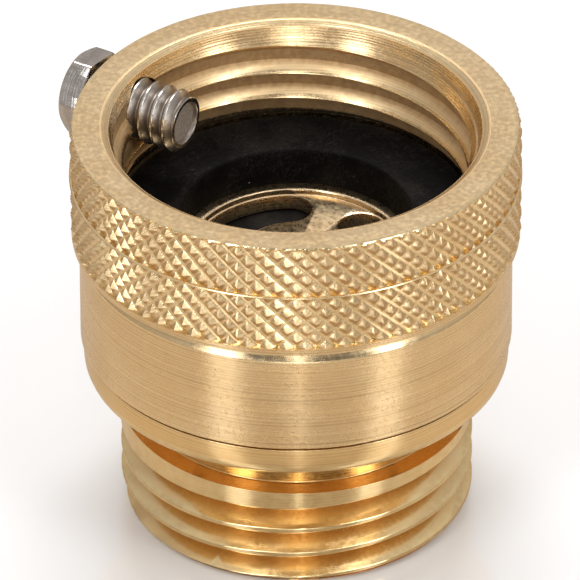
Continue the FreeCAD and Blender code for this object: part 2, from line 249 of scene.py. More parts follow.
def rounded(points, size=0.06, steps=4):
    """Rows of an outline with soft corners."""
    rows = []
    count = len(points)
    for number, point in enumerate(points):
        here = np.array(point[:2], float)
        reach = point[2] if len(point) > 2 else size
        dirt_and_shade = point[3] if len(point) > 3 else 0
        before = np.array(points[number - 1][:2], float) - here
        after = np.array(points[(number + 1) % count][:2], float) - here
        if reach == 0 or here[0] == 0:
            rows.append((here[0], here[1], 0, dirt_and_shade))
            continue
        first, last = (
            here + side / np.linalg.norm(side) * min(reach, MOST_OF_SIDE * np.linalg.norm(side))
            for side in (before, after)
        )
        for step in range(steps + 1):
            t = step / steps
            spot = first * (1 - t) ** 2 + here * 2 * t * (1 - t) + last * t * t
            edge = 1 if 0 < step < steps else ROUNDING_START
            rows.append((spot[0], spot[1], edge * (1 - dirt_and_shade), dirt_and_shade))
    return rows


# %% [markdown]
# Every finished piece takes the place of one node of the CAD model and moves with one of its bodies.

# %% Helper that tells the frame about a piece
def stand_in(piece, body, node_name):
    """Says which body a piece rides on and which node it replaces."""
    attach(piece, body)
    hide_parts(node_name)


# %% [markdown]
# ## The screw threads
# The hose threads are right-hand helixes with 11.5 turns to the inch. The CAD model holds them as
# rings, so here they get their real run. One turn of the thread is described by its radii along
# the pitch. The rows climb by one pitch on their way round and are cut off at the top and bottom.
#
# A plain outline goes with each thread, such as the lead-in of the socket. Where the outline has
# taken the thread away, it wins, which needs only the larger or the smaller of two radii.

# %% Helper that shapes one turn of a thread
INCH = 25.4
HOSE_PITCH = INCH / 11.5


def thread_turn(crest, root, land, rise, pitch, crest_round, root_round):
    """One turn of a thread from a crest's middle: (share of the pitch, radius) pairs."""
    corners = [(crest, 0, 0), (crest, land / 2, crest_round), (root, land / 2 + rise, root_round)]
    half = rounded(corners + [(root, pitch / 2, 0)], steps=5)
    ahead = [(row[1] / pitch, row[0]) for row in half]
    behind = [(1 - share, radius) for share, radius in ahead[-2:0:-1]]
    return ahead + behind


# %% Helper that makes the rows of a helical thread
WORN_DEPTH = 0.12  # the share of a thread's depth, from its crest down, that wears like an edge
SAME_RADIUS = 0.01  # within so many millimetres the surface is the thread's and not the outline's


def thread_rows(turn_shape, pitch, crest_at, low, high, columns, outline, winner, fade=None):
    """Rows of a right-hand thread between two heights. crest_at is a crest's height at angle 0."""
    run = np.arange(columns + 1) / columns
    shares, radii = np.array(turn_shape).T
    crest = radii[0]
    root = radii[np.argmax(np.abs(radii - crest))]
    rows = []
    first_turn = math.floor((low - crest_at) / pitch) - 2
    last_turn = math.ceil((high - crest_at) / pitch) + 1
    for number in range(first_turn, last_turn):
        for share in shares:
            height = np.clip(crest_at + pitch * (number + share + run), low, high)
            phase = (height - crest_at) / pitch - run
            radius = np.interp(phase % 1, shares, radii, period=1)
            if fade is not None:
                groove_height = crest_at + pitch * (np.floor(phase + 1e-6) + 0.5 + run)
                radius = crest + (radius - crest) * fade(groove_height)
            final = winner(radius, outline(height))
            is_thread = np.abs(final - radius) < SAME_RADIUS
            depth = np.abs(radius - crest) / abs(root - crest)
            worn = np.clip(1 - depth / WORN_DEPTH, 0, 1)
            # The deeper into a groove, the more painted shade the row gets.
            rows.append((final, height, is_thread * worn, is_thread * depth))
    return rows


# %% [markdown]
# ## The collar
# The upper part is one brass turning. Outside it has a diamond knurl that wet fingers can hold, a
# narrow plain strip, an undercut and a smooth band. Inside is the socket with the tap's thread.
#
# A knurl is two sets of slanting grooves that cross. Each point takes the deeper of the two, and
# what stays between them is a field of small pyramids with flat tops. A bump map would leave the
# outline smooth, so the knurl is real. The grid is laid so that every groove runs exactly along the
# diagonals of its squares, 10 columns from groove to groove. The squares are split along the
# grooves, so the sides of a pyramid are flat and its edges crisp with few points. The bottoms of
# the grooves are marked as edges, which paints them lighter: the burnish of the wheel's teeth with a
# painted highlight, stronger in the falling grooves. The tops and sides get painted shade, most of
# it on the sides that look down.
#
# The wheels were set down twice, and a thin raised ring shows where. The knurl is therefore made
# in two blocks with the ring between them.

# %% Sizes of the collar
TOP = 33.0
COLLAR_RADIUS = 17.135
KNURL_RADIUS = 17.105
KNURL_BOTTOM, KNURL_TOP = 24.06, 32.72
KNURL_STARTS = 72
KNURL_STEP = 10  # columns from one groove to the next
KNURL_COLUMNS = KNURL_STARTS * KNURL_STEP
KNURL_ROWS = 58
GROOVE_BOTTOM = 0.8  # columns from a groove's middle to where its side begins to rise
GROOVE_SIDE = 0.09  # millimetres that the side rises per column
TOP_SHARE, BOTTOM_SHARE = 0.1, 0.85  # shares of the depth above and below which a side ends
# How much painted shade darkens the pyramids' tops and their lower and upper sides.
TOP_PAINTED_SHADE, LOWER_SIDE_PAINTED_SHADE, UPPER_SIDE_PAINTED_SHADE = 0.45, 0.78, 0.25
FALLING_POLISH_AND_HIGHLIGHT, RISING_POLISH_AND_HIGHLIGHT = 0.9, 0.4  # how much wear and painted highlight lighten the bottoms of the two sets of grooves
NICK_DEPTH, NICK_REACH = 0.05, 0.3  # the tops have small nicks, down to this share of the depth
SECOND_SETTING = 0.03  # how much deeper the wheels were set below the raised ring
RING_MARK_ROW = 30
RING_MARK_WIDTH = 0.22
STRIP_RADIUS, STRIP_BOTTOM = 17.005, 23.46
UNDERCUT_RADIUS, UNDERCUT_BOTTOM = 16.10, 22.94
BAND_RADIUS, BAND_TOP, SEAM = 16.43, 22.46, 14.44
CAVITY_RADIUS, PLATE_TOP = 15.10, 21.80
PLAIN_COLUMNS = 288
rng = np.random.default_rng(11)


# %% Helpers for the depth of the grooves
def groove_depth(lattice, press):
    """Depth of grooves pressed in by so many millimetres: the deeper, the wider they are."""
    half = KNURL_STEP / 2
    from_middle = half - np.abs(lattice % KNURL_STEP - half)
    return np.clip(press - GROOVE_SIDE * (from_middle - GROOVE_BOTTOM), 0, press)


def wheel_press(angle, mean, swing, swing_at, ripples, ripples_at):
    """How deep a wheel presses: deeper on one side of the collar, with a faint ripple."""
    return mean + swing * np.cos(angle + swing_at) + 0.01 * np.sin(ripples * angle + ripples_at)


# %% Helpers for the knurl's rows and faces
def knurl_rows(first, last):
    """Rows of the knurl between two row numbers, with both wheels' grooves and their painted light."""
    column = np.arange(KNURL_COLUMNS + 1)
    angle = 2 * math.pi * column / KNURL_COLUMNS
    falling_press = wheel_press(angle, 0.32, 0.08, 2.3, 9, 1)
    rising_press = wheel_press(angle, 0.28, 0.07, 2.6, 11, 0)
    rows = []
    for number in range(first, last + 1):
        height = KNURL_BOTTOM + (KNURL_TOP - KNURL_BOTTOM) * number / KNURL_ROWS
        deeper = SECOND_SETTING if number < RING_MARK_ROW else 0
        falling = groove_depth(column + number, falling_press + deeper)
        rising = groove_depth(column - number, rising_press + deeper)
        depth = np.maximum(falling, rising)
        in_falling = falling > rising
        share = depth / falling_press
        below_falling = (column + number) % KNURL_STEP < KNURL_STEP / 2
        below_rising = (column - number) % KNURL_STEP > KNURL_STEP / 2
        looks_down = np.where(in_falling, below_falling, below_rising)
        # Painted shade on the tops and sides, most on the sides that look down, and a painted
        # highlight on the groove bottoms.
        side_painted_shade = np.where(looks_down, LOWER_SIDE_PAINTED_SHADE, UPPER_SIDE_PAINTED_SHADE)
        dirt_and_shade_tone = np.where(share < TOP_SHARE, TOP_PAINTED_SHADE, side_painted_shade) * (share < BOTTOM_SHARE)
        nick = rng.random(KNURL_COLUMNS) ** 6 * NICK_DEPTH
        radius = KNURL_RADIUS - depth - np.append(nick, nick[0]) * (share < NICK_REACH)
        polish_and_highlight = np.where(in_falling, FALLING_POLISH_AND_HIGHLIGHT, RISING_POLISH_AND_HIGHLIGHT) * (share > BOTTOM_SHARE)
        rows.append((radius, height, polish_and_highlight, dirt_and_shade_tone))
    return rows


def knurl_split(first, last):
    """Which diagonal splits each square of the knurl: 1 rises to the right, 2 falls."""
    number, column = np.mgrid[first:last, 0:KNURL_COLUMNS]
    return np.where((column + number + 1) % 2 == 1, 2, 1)


# %% The knurl and its raised ring
lower_knurl = knurl_rows(0, RING_MARK_ROW)
upper_knurl = knurl_rows(RING_MARK_ROW + 1, KNURL_ROWS)
ring_low = lower_knurl[-1][1] + 0.02
ring_mark = []
# The ring's lower foot gets painted shade, and the rest of it gets a painted highlight through the
# edge mark.
for share, sink in ((0.0, 0.16), (0.25, 0.03), (0.5, 0.0), (0.8, 0.06), (1.0, 0.16)):
    shaded_foot = share == 0
    height = ring_low + RING_MARK_WIDTH * share
    ring_mark.append((COLLAR_RADIUS - sink, height, not shaded_foot, shaded_foot))
print("knurl grooves", round(2 * math.pi * COLLAR_RADIUS / KNURL_STARTS, 2), "mm apart")

# %% [markdown]
# The socket's wall is turned too. Under a narrow bevel comes the lead-in, a cone that is a little
# hollow and has taken the thread's first ridge away. The ridges below are steeper underneath than
# on top, where they curve over to the crest, and a plain relief ends the thread above the washer.

# %% The socket
SOCKET_ROOT = 13.77
FIRST_RIDGE = TOP - 3.93  # height of the first whole ridge's lower edge at the back, at 90 degrees
SOCKET_LOW, SOCKET_HIGH = 24.4, TOP - 0.33
SOCKET_CREST = 13.0
RIDGE_TOP, RIDGE_UNDERSIDE = 0.855, 0.445  # height of a ridge's upper and lower side
FIRST_SLOPE = 0.40  # how fast the crest begins to fall back upwards
curve = (SOCKET_ROOT - SOCKET_CREST - FIRST_SLOPE * RIDGE_TOP) / RIDGE_TOP**2
socket_turn = [(0, SOCKET_CREST)]
for climb in np.linspace(0.03, RIDGE_TOP, 9):
    socket_turn.append((climb / HOSE_PITCH, SOCKET_CREST + FIRST_SLOPE * climb + curve * climb**2))
groove_end, crest_start = HOSE_PITCH - RIDGE_UNDERSIDE, HOSE_PITCH - 0.03
groove = [(1.2, SOCKET_ROOT), (groove_end, SOCKET_ROOT), (crest_start, SOCKET_CREST + 0.06)]
for climb, radius in groove:
    socket_turn.append((climb / HOSE_PITCH, radius))
socket_outline_depths = [0.33, 0.80, 1.30, 1.80, 2.35, 2.50, 7.10, 7.35, 8.60]
socket_outline_radii = [14.115, 13.945, 13.735, 13.49, 13.19, 12.95, 12.90, SOCKET_ROOT, SOCKET_ROOT]


def socket_outline(height):
    """The smallest radius at a height: the lead-in, the bore of the crests and the relief."""
    return np.interp(TOP - height, socket_outline_depths, socket_outline_radii)


socket = thread_rows(
    socket_turn, HOSE_PITCH, FIRST_RIDGE - HOSE_PITCH / 4, SOCKET_LOW, SOCKET_HIGH,
    PLAIN_COLUMNS, socket_outline, np.maximum,
)
print(len(socket), "rows in the socket")

# %% The collar's outline and mesh
SEAM_GAP, SEAM_REACH = 0.10, 0.7
seam_inside, seam_top = BAND_RADIUS - SEAM_REACH, SEAM + SEAM_GAP
foot = rounded([
    (CAVITY_RADIUS, SEAM, 0), (seam_inside, SEAM, 0, 1), (seam_inside, seam_top, 0, 1),
    (BAND_RADIUS - 0.10, seam_top, 0.03, 0.8), (BAND_RADIUS, seam_top + 0.10, 0.06),
    (BAND_RADIUS, BAND_TOP, 0.08), (UNDERCUT_RADIUS, UNDERCUT_BOTTOM, 0.04),
    (UNDERCUT_RADIUS, STRIP_BOTTOM, 0.05), (STRIP_RADIUS, STRIP_BOTTOM, 0.12),
    (STRIP_RADIUS, KNURL_BOTTOM - 0.05, 0),
])
BEVEL_DEPTH, GROOVE_RUN_OUT = 0.285, 0.12  # at the top edge
knurl_end = []
for share in (0.4, 0.75, 1.0):
    bevel = KNURL_RADIUS - BEVEL_DEPTH * share
    radius = np.minimum(bevel, upper_knurl[-1][0] + GROOVE_RUN_OUT * share)
    knurl_end.append((radius, KNURL_TOP + (TOP - KNURL_TOP) * share, 0.6))
# The rows with a fourth number carry painted shade in the creases of the socket's bevel.
top_face = [(16.62, TOP, 0.2), (15.6, TOP, 0), (14.76, TOP, 0), (14.70, TOP - 0.004, 0, 1)]
top_face += [(14.64, TOP - 0.02, 0, 0.6), (14.58, TOP - 0.04, 0.4), (14.22, TOP - 0.27, 0.5)]
top_face += [(14.17, TOP - 0.31, 0, 1), (14.13, SOCKET_HIGH, 0, 0.6)]
inside = [(SOCKET_ROOT, PLATE_TOP), (CAVITY_RADIUS, PLATE_TOP)]

COLLAR_SHARP = 20
blocks = [
    (foot, PLAIN_COLUMNS),
    (lower_knurl, KNURL_COLUMNS, knurl_split(0, RING_MARK_ROW)),
    (ring_mark, KNURL_COLUMNS),
    (upper_knurl, KNURL_COLUMNS, knurl_split(RING_MARK_ROW + 1, KNURL_ROWS)),
    (knurl_end, KNURL_COLUMNS),
    (top_face, PLAIN_COLUMNS),
    (socket[::-1], PLAIN_COLUMNS),
    (inside, PLAIN_COLUMNS),
]
collar = turn("knurled_collar", blocks, sharp_degrees=COLLAR_SHARP)

# %% [markdown]
# ## The hole for the set screw
# A screw through the collar's side locks the valve onto the tap. Its axis points to the left and
# to the back. The hole is cut with a Boolean modifier, which is the plain way to cross two round
# shapes, and the modifier is applied so that the mesh itself has the hole.

# %% Helper that lays a piece on the screw's axis
SCREW_ANGLE = math.radians(149)
SCREW_HEIGHT = TOP - 3.14
SCREW_RADIUS = 2.415


def along_screw(points):
    """Moves points made round the Z axis onto the set screw's axis."""
    x, y, out = points.T
    return round_axis(out, SCREW_ANGLE, SCREW_HEIGHT - x, y)


# %% Helper that cuts with a Boolean modifier
def cut(piece, cutters, how="DIFFERENCE", sharp_degrees=32):
    """Cuts the cutters out of a piece, or joins them to it, and throws the cutters away."""
    for cutter in cutters:
        step = piece.modifiers.new("cut", "BOOLEAN")
        step.operation, step.object, step.solver = how, cutter, "EXACT"
    graph = bpy.context.evaluated_depsgraph_get()
    mesh = bpy.data.meshes.new_from_object(piece.evaluated_get(graph))
    piece.modifiers.clear()
    piece.data = mesh
    for cutter in cutters:
        bpy.data.objects.remove(cutter)
    return finish_mesh(piece, sharp_degrees)


# %% The hole
HOLE_START, HOLE_END = 12.0, 18.0  # from inside the socket to outside the knurl
hole_radius = SCREW_RADIUS + 0.045
hole_outline = [(0, HOLE_START), (hole_radius, HOLE_START), (hole_radius, HOLE_END), (0, HOLE_END)]
hole = turn("hole", [(hole_outline, 72)], closed=False, place=along_screw)
cut(collar, [hole], sharp_degrees=COLLAR_SHARP)
stand_in(collar, "valve_body", "body_shell")

# %% [markdown]
# ## The outlet nipple
# The lower part is a second turning. Its thread ends below a plain land: the tool was pulled out
# there, so the last groove fades. Above the land a flat ledge and an upright wall make the neck, a
# square corner in which the brass mirrors itself and looks deep orange, and painted shade darkens it
# further. The flange above the neck closes the collar from below, and its lower edge is well
# rounded. Eight small vent holes go up through the flange.

# %% Sizes of the nipple
THREAD_CREST, THREAD_ROOT = 13.45, 12.03
THREAD_TOP, NECK_RADIUS = 8.43, 12.0
FLANGE_BOTTOM, FLANGE_RADIUS = 11.80, 16.20
OUTLET_BORE, OUTLET_BORE_TOP = 9.0, 8.0
SPIDER_LEDGE, SPIDER_ROOM = 8.45, 9.80  # height of the spider's ledge, and the radius above it
SEAT_RADIUS, SEAT_TOP = 10.70, 17.50
VENT_FLOOR, VENT_OUTSIDE = 15.60, 14.10
SPIGOT_RADIUS, SPIGOT_TOP = 15.05, 18.40
EDGE_CHAMFER = 0.61
FRONT_CREST = 4.98  # height of a crest at the front, at -90 degrees
FADE_TOP, FADE_LENGTH = 7.55, 0.7
NIPPLE_SHARP = 28

# %% The outlet's thread
hose_turn = thread_turn(THREAD_CREST, THREAD_ROOT, 0.30, 0.845, HOSE_PITCH, 0.07, 0.06)


def outlet_outline(height):
    """The crests' radius, with the chamfer at the outlet's end."""
    return np.interp(height, [0, EDGE_CHAMFER], [THREAD_CREST - EDGE_CHAMFER, THREAD_CREST])


def pull_out(groove_height):
    """1 where the groove is whole, 0 where the tool has left the metal."""
    return np.clip((FADE_TOP - groove_height) / FADE_LENGTH, 0, 1)


outlet = thread_rows(
    hose_turn, HOSE_PITCH, FRONT_CREST + HOSE_PITCH / 4, 0.02, THREAD_TOP - 0.09,
    PLAIN_COLUMNS, outlet_outline, np.minimum, pull_out,
)
print(len(outlet), "rows in the outlet's thread")

# %% The nipple's outline and mesh
lower = rounded([(OUTLET_BORE, 1.0, 0), (OUTLET_BORE, 0.4, 0.1), (9.4, 0, 0.05), (12.82, 0, 0)])
# The neck's corners get painted shade, which darkens the neck towards a brown orange.
upper = rounded([
    (THREAD_CREST, THREAD_TOP - 0.07, 0), (THREAD_CREST, THREAD_TOP, 0.05),
    (NECK_RADIUS, THREAD_TOP, 0.15, 0.7), (NECK_RADIUS, FLANGE_BOTTOM, 0.18, 0.9),
    (FLANGE_RADIUS, FLANGE_BOTTOM, 1.2), (FLANGE_RADIUS, SEAM - 0.14, 0.04),
    (16.0, SEAM - 0.12, 0.02, 1), (16.0, SEAM, 0, 1), (SPIGOT_RADIUS, SEAM, 0.05),
    (SPIGOT_RADIUS, SPIGOT_TOP), (VENT_OUTSIDE, SPIGOT_TOP), (VENT_OUTSIDE, VENT_FLOOR),
    (SEAT_RADIUS, VENT_FLOOR), (SEAT_RADIUS, SEAT_TOP, 0.25), (SPIDER_ROOM, SEAT_TOP, 0.25),
    (SPIDER_ROOM, SPIDER_LEDGE), (OUTLET_BORE, SPIDER_LEDGE, 0.04), (OUTLET_BORE, OUTLET_BORE_TOP, 0),
], steps=6)
blocks = [(rows, PLAIN_COLUMNS) for rows in (lower, outlet, upper)]
nipple = turn("outlet_nipple_threaded", blocks, sharp_degrees=NIPPLE_SHARP)

# %% The vent holes
VENT_RADIUS, VENT_CIRCLE, VENT_COUNT = 0.75, 13.30, 8
VENT_START, VENT_END, VENT_CHAMFER = 11.0, 16.5, 0.12
mouth = VENT_RADIUS + VENT_CHAMFER
outline = [(0, VENT_START), (mouth, VENT_START), (mouth, FLANGE_BOTTOM)]
outline += [(VENT_RADIUS, FLANGE_BOTTOM + VENT_CHAMFER), (VENT_RADIUS, VENT_END), (0, VENT_END)]
vents = []
for number, angle in enumerate(evenly_spread(VENT_COUNT)):
    centre = round_axis(VENT_CIRCLE, angle, 0)
    vent = turn(f"vent_{number}", [(outline, 32)], closed=False, place=lambda points: points + centre)
    vents.append(vent)
cut(nipple, vents, sharp_degrees=NIPPLE_SHARP)
stand_in(nipple, "valve_body", "outlet_nipple")

# %% [markdown]
# ## The set screw
# The screw is turned down from hexagon bar. Its head breaks off at the thin neck once the screw is
# tight, so that nobody takes the valve off again. The hexagon's outer edge is turned to a cone,
# which leaves a curved line on each flat. Here each column of the ring stops at its own height,
# where the cone and the flat meet, and that draws those curves without any cutting.

# %% Sizes of the set screw
SCREW_TIP, SCREW_THREAD_START, SCREW_THREAD_END = 9.67, 10.09, 16.745
SCREW_PITCH = INCH / 24
RIM_RADIUS, HOLLOW_FLOOR = 1.62, 10.02
BREAK_NECK = 1.45
HEAD_LOW, HEAD_TOP = 17.345, 19.295
HEAD_FLAT, HEAD_TURN = 3.0, math.radians(98.5)
CONE_HEIGHT, CONE_WIDTH = 0.45, 0.62
CORNER_WEAR = 0.065  # how far the hexagon's corners stay below their sharp radius
SCREW_COLUMNS = 144


# %% The screw's thread and cup point
def screw_outline(height):
    """The largest radius at a height, with the chamfers at both ends of the thread."""
    starts = [SCREW_TIP, SCREW_THREAD_START, SCREW_THREAD_END - 0.3, SCREW_THREAD_END]
    return np.interp(height, starts, [2.0, SCREW_RADIUS, SCREW_RADIUS, SCREW_RADIUS - 0.3])


screw_turn = thread_turn(SCREW_RADIUS, 1.855, 0.16, 0.389, SCREW_PITCH, 0.05, 0.05)
screw_thread = thread_rows(
    screw_turn, SCREW_PITCH, 10.35, SCREW_TIP + 0.06, SCREW_THREAD_END,
    SCREW_COLUMNS, screw_outline, np.minimum,
)
# The wall of the cup's hollow gets painted shade. Its floor is marked grainy.
cup_point = [
    (0, HOLLOW_FLOOR, 0, 0, 1), (1.3, HOLLOW_FLOOR, 0, 0, 1), (1.45, HOLLOW_FLOOR - 0.02, 0, 0, 0.9),
    (1.55, 9.95, 0, 1, 0.3), (RIM_RADIUS, 9.85, 0.2, 1, 0), (RIM_RADIUS + 0.04, SCREW_TIP + 0.03, 1),
    (1.70, SCREW_TIP, 1), (1.98, SCREW_TIP, 1), (2.02, SCREW_TIP + 0.03, 0.8),
]
print("screw pitch", round(SCREW_PITCH, 3), "mm")

# %% The screw's head and mesh
side = np.arange(SCREW_COLUMNS + 1) % (SCREW_COLUMNS // 6) / (SCREW_COLUMNS // 6)
corner_radius = HEAD_FLAT / math.cos(math.pi / 6)
hexagon = HEAD_FLAT / np.cos(math.pi / 3 * side - math.pi / 6)
hexagon = np.minimum(hexagon, corner_radius - CORNER_WEAR)
cone_foot = HEAD_TOP - CONE_HEIGHT
meeting = cone_foot + CONE_HEIGHT * (corner_radius - hexagon) / CONE_WIDTH
low_meeting = HEAD_LOW + 0.25 * (hexagon - HEAD_FLAT) + 0.04
crown = corner_radius - CONE_WIDTH
neck = [(BREAK_NECK, SCREW_THREAD_END + 0.04), (BREAK_NECK, HEAD_LOW - 0.05)]
neck += [(BREAK_NECK + 0.07, HEAD_LOW, 0)]
head = [(2.85, HEAD_LOW, 0.5), (hexagon - 0.04, HEAD_LOW, 0.8), (hexagon, low_meeting, 1)]
head += [(hexagon, (low_meeting + meeting) / 2, 0), (hexagon, meeting - 0.03, 1)]
head += [(hexagon - 0.03, meeting + 0.02, 0.8), (crown + 0.04, HEAD_TOP - 0.03, 0.6)]
head += [(crown - 0.05, HEAD_TOP, 1), (crown - 0.5, HEAD_TOP, 0), (0, HEAD_TOP - 0.02, 0)]


def place_screw(points):
    """Turns the hexagon round its axis and lays the screw on the hole's axis."""
    turned = Matrix.Rotation(HEAD_TURN, 3, "Z")
    return along_screw(points @ np.array(turned).T)


screw = turn(
    "set_screw_hexagon",
    [(cup_point + screw_thread + neck + head, SCREW_COLUMNS)],
    closed=False, sharp_degrees=25, place=place_screw,
)
stand_in(screw, "locking_screw", "set_screw")

# %% [markdown]
# ## The washer and the diaphragm
# Both are black rubber rings. The washer seals against the tap's spout, and its mould has left it
# with soft edges and a slightly dished top. The diaphragm below the plate is thinner and has a
# low lip round its hole.

# %% Rubber rings
WASHER_BORE, WASHER_RADIUS, WASHER_TOP = 8.80, 13.62, 24.90
washer_outline = [(WASHER_BORE, PLATE_TOP, 0.1), (WASHER_RADIUS, PLATE_TOP, 0.1)]
washer_outline += [(WASHER_RADIUS, WASHER_TOP, 0.30), (12.9, WASHER_TOP, 0.3), (10.9, 24.82, 0.6)]
washer_outline += [(9.3, 24.88, 0.3), (WASHER_BORE, 24.84, 0.45)]
washer = turn("hose_washer", [(rounded(washer_outline, steps=6), 192)], sharp_degrees=40)
stand_in(washer, "valve_body", "inlet_washer")

DIAPHRAGM_HOLE, DIAPHRAGM_RADIUS, DIAPHRAGM_TOP = 4.0, 14.95, 19.99
diaphragm_outline = [(DIAPHRAGM_HOLE, 18.42, 0.2), (6.2, 18.42, 0.1), (6.6, 18.52, 0.1)]
diaphragm_outline += [(13.6, 18.52, 0.1), (13.9, 18.41, 0.1), (DIAPHRAGM_RADIUS, 18.41, 0.1)]
diaphragm_outline += [(DIAPHRAGM_RADIUS, DIAPHRAGM_TOP, 0.1), (9.0, DIAPHRAGM_TOP, 0.2)]
diaphragm_outline += [(8.5, 19.86, 0.2), (5.2, 19.86, 0.2), (4.8, DIAPHRAGM_TOP, 0.15)]
diaphragm_outline += [(DIAPHRAGM_HOLE, DIAPHRAGM_TOP, 0.3)]
diaphragm = turn("rubber_diaphragm", [(rounded(diaphragm_outline, steps=5), 144)], sharp_degrees=40)
stand_in(diaphragm, "valve_body", "diaphragm")

# %% [markdown]
# ## The slotted seat plate
# The plate is a brass disc with a recess, a rounded rim round the recess and three curved slots.
# Each slot is the space within half a width of an arc. Its outline can therefore be drawn for any
# width, and a cutter that is a bit wider at the top also makes the slot's chamfer.

# %% Helper that stacks closed outlines into a solid
def stack(name, layers, sharp_degrees=32):
    """A closed solid through stacked outlines, each an array of points in millimetres."""
    count = len(layers[0])
    points = np.concatenate(layers)
    around = np.arange(count)
    faces = []
    for number in range(len(layers) - 1):
        low, high = number * count, (number + 1) * count
        following = (around + 1) % count
        faces.append(np.stack([low + around, low + following, high + following, high + around], -1))
    faces.append(around[None, ::-1])
    faces.append(around[None, :] + (len(layers) - 1) * count)
    return finish_mesh(add_mesh(name, points, faces), sharp_degrees)


# %% Helper that draws a curved slot
SLOT_MIDDLE, SLOT_HALF, SLOT_COUNT = 6.135, 1.765, 3
SLOT_SPAN, FIRST_SLOT = math.radians(61), math.radians(5.3)
LONG_STEPS, ROUND_STEPS = 40, 20


def kidney(half_width, height, middle_angle):
    """Outline of a curved slot with round ends."""
    outline = []
    reach = SLOT_SPAN / 2
    for way in (1, -1):
        for turn_to in np.linspace(-reach, reach, LONG_STEPS):
            outline.append((SLOT_MIDDLE + way * half_width, way * turn_to, 0, 0))
        for sweep in np.linspace(0, math.pi, ROUND_STEPS)[1:-1]:
            outward, sideways = way * half_width * math.cos(sweep), way * half_width * math.sin(sweep)
            outline.append((SLOT_MIDDLE, way * reach, outward, sideways))
    radius, angle, outward, sideways = np.array(outline).T
    return round_axis(radius + outward, angle + middle_angle, height, sideways)


# %% The seat plate
PLATE_RADIUS, PLATE_BOTTOM = 15.0, 20.0
RECESS_RADIUS, RECESS_FACE = 8.0, 21.30
plate_outline = [(0, PLATE_BOTTOM), (PLATE_RADIUS, PLATE_BOTTOM, 0.1), (PLATE_RADIUS, PLATE_TOP, 0.1)]
plate_outline += [(RECESS_RADIUS, PLATE_TOP, 0.42), (RECESS_RADIUS - 0.02, RECESS_FACE, 0.10)]
plate_outline += [(0, RECESS_FACE)]
plate = turn("slotted_seat_plate", [(rounded(plate_outline, steps=7), 192)], closed=False)
widths = [(0.10, PLATE_BOTTOM - 1), (0.10, PLATE_BOTTOM), (0, PLATE_BOTTOM + 0.10)]
widths += [(0, RECESS_FACE - 0.16), (0.05, RECESS_FACE - 0.05), (0.15, RECESS_FACE)]
widths += [(0.15, RECESS_FACE + 1)]
slots = []
for number, angle in enumerate(evenly_spread(SLOT_COUNT, FIRST_SLOT)):
    layers = [kidney(SLOT_HALF + wider, height, angle) for wider, height in widths]
    slots.append(stack(f"slot_{number}", layers))
cut(plate, slots)
stand_in(plate, "valve_body", "seat_plate")

# %% [markdown]
# ## The check
# A rubber disc in a stainless cup closes the hole of the diaphragm. It hangs on a stem with a low
# head, and a clip on the stem's lower end keeps it from jumping out.

# %% Disc, cup and stem
STEM_RADIUS, STEM_HOLE = 1.0, 1.04
DISC_RADIUS, DISC_LOW, DISC_TOP = 6.0, 17.16, 18.35
CUP_LOW, CUP_FLOOR, CUP_TOP, CUP_INSIDE, CUP_OUTSIDE = 16.65, 17.15, 18.05, 6.04, 6.49
CLIP_GROOVE = 0.7
disc_outline = [(STEM_HOLE, DISC_LOW), (DISC_RADIUS, DISC_LOW, 0.08), (DISC_RADIUS, DISC_TOP, 0.15)]
disc_outline += [(STEM_HOLE, DISC_TOP)]
disc = turn("check_disc_rubber", [(rounded(disc_outline), 96)], sharp_degrees=40)
cup_outline = [(STEM_HOLE, CUP_LOW), (CUP_OUTSIDE, CUP_LOW, 0.45), (CUP_OUTSIDE, CUP_TOP, 0.12)]
cup_outline += [(CUP_INSIDE, CUP_TOP, 0.12), (CUP_INSIDE, CUP_FLOOR, 0.12), (STEM_HOLE, CUP_FLOOR)]
cup = turn("disc_cup_pressed", [(rounded(cup_outline, steps=6), 96)])
stem_outline = [(0, 6.75), (0.75, 6.75, 0.04), (STEM_RADIUS, 7.0, 0.04), (STEM_RADIUS, 7.52, 0.03)]
stem_outline += [(CLIP_GROOVE, 7.52, 0.03), (CLIP_GROOVE, 8.08, 0.03), (STEM_RADIUS, 8.08, 0.03)]
stem_outline += [(STEM_RADIUS, DISC_TOP, 0.05), (1.8, DISC_TOP, 0.05), (1.8, 18.85, 0.2), (0, 18.85)]
stem = turn("check_stem_turned", [(rounded(stem_outline), 64)], closed=False)
stand_in(disc, "check", "check_disc")
stand_in(cup, "check", "disc_cup")
stand_in(stem, "check", "check_stem")

# %% [markdown]
# The clip is punched from spring sheet: an open ring with three inner teeth in the stem's groove
# and two round ears at its mouth. Its outline is drawn flat and stacked like the slots.

# %% Clip
CLIP_LOW, CLIP_HIGH, CLIP_SOFTENING = 7.55, 8.05, 0.05
CLIP_RADIUS, EAR, EAR_SPREAD = 2.02, 0.18, 0.05
CLIP_HOLE, TOOTH, TEETH = 0.98, 0.25, 3
MOUTH_HALF = math.radians(16)
CLIP_STEPS = 97


def clip_outline(shrink, height):
    """Outline of the open ring, its sheet narrower by shrink, from its mouth round and back."""
    swing = np.linspace(MOUTH_HALF, 2 * math.pi - MOUTH_HALF, CLIP_STEPS)
    near_mouth = np.exp(-((np.pi - np.abs(swing - np.pi) - MOUTH_HALF) ** 2) / EAR_SPREAD)
    outer = CLIP_RADIUS + EAR * near_mouth - shrink
    inner = CLIP_HOLE - TOOTH * np.maximum(np.cos(TEETH * (swing - math.pi)), 0) ** 6 + shrink
    radius = np.concatenate([outer, inner[::-1]])
    angle = np.concatenate([swing, swing[::-1]])
    return round_axis(radius, angle, height)


layers = [clip_outline(CLIP_SOFTENING, CLIP_LOW), clip_outline(0, CLIP_LOW + CLIP_SOFTENING)]
layers += [clip_outline(0, CLIP_HIGH - CLIP_SOFTENING), clip_outline(CLIP_SOFTENING, CLIP_HIGH)]
clip = stack("stem_clip_punched", layers)
stand_in(clip, "check", "stem_clip")
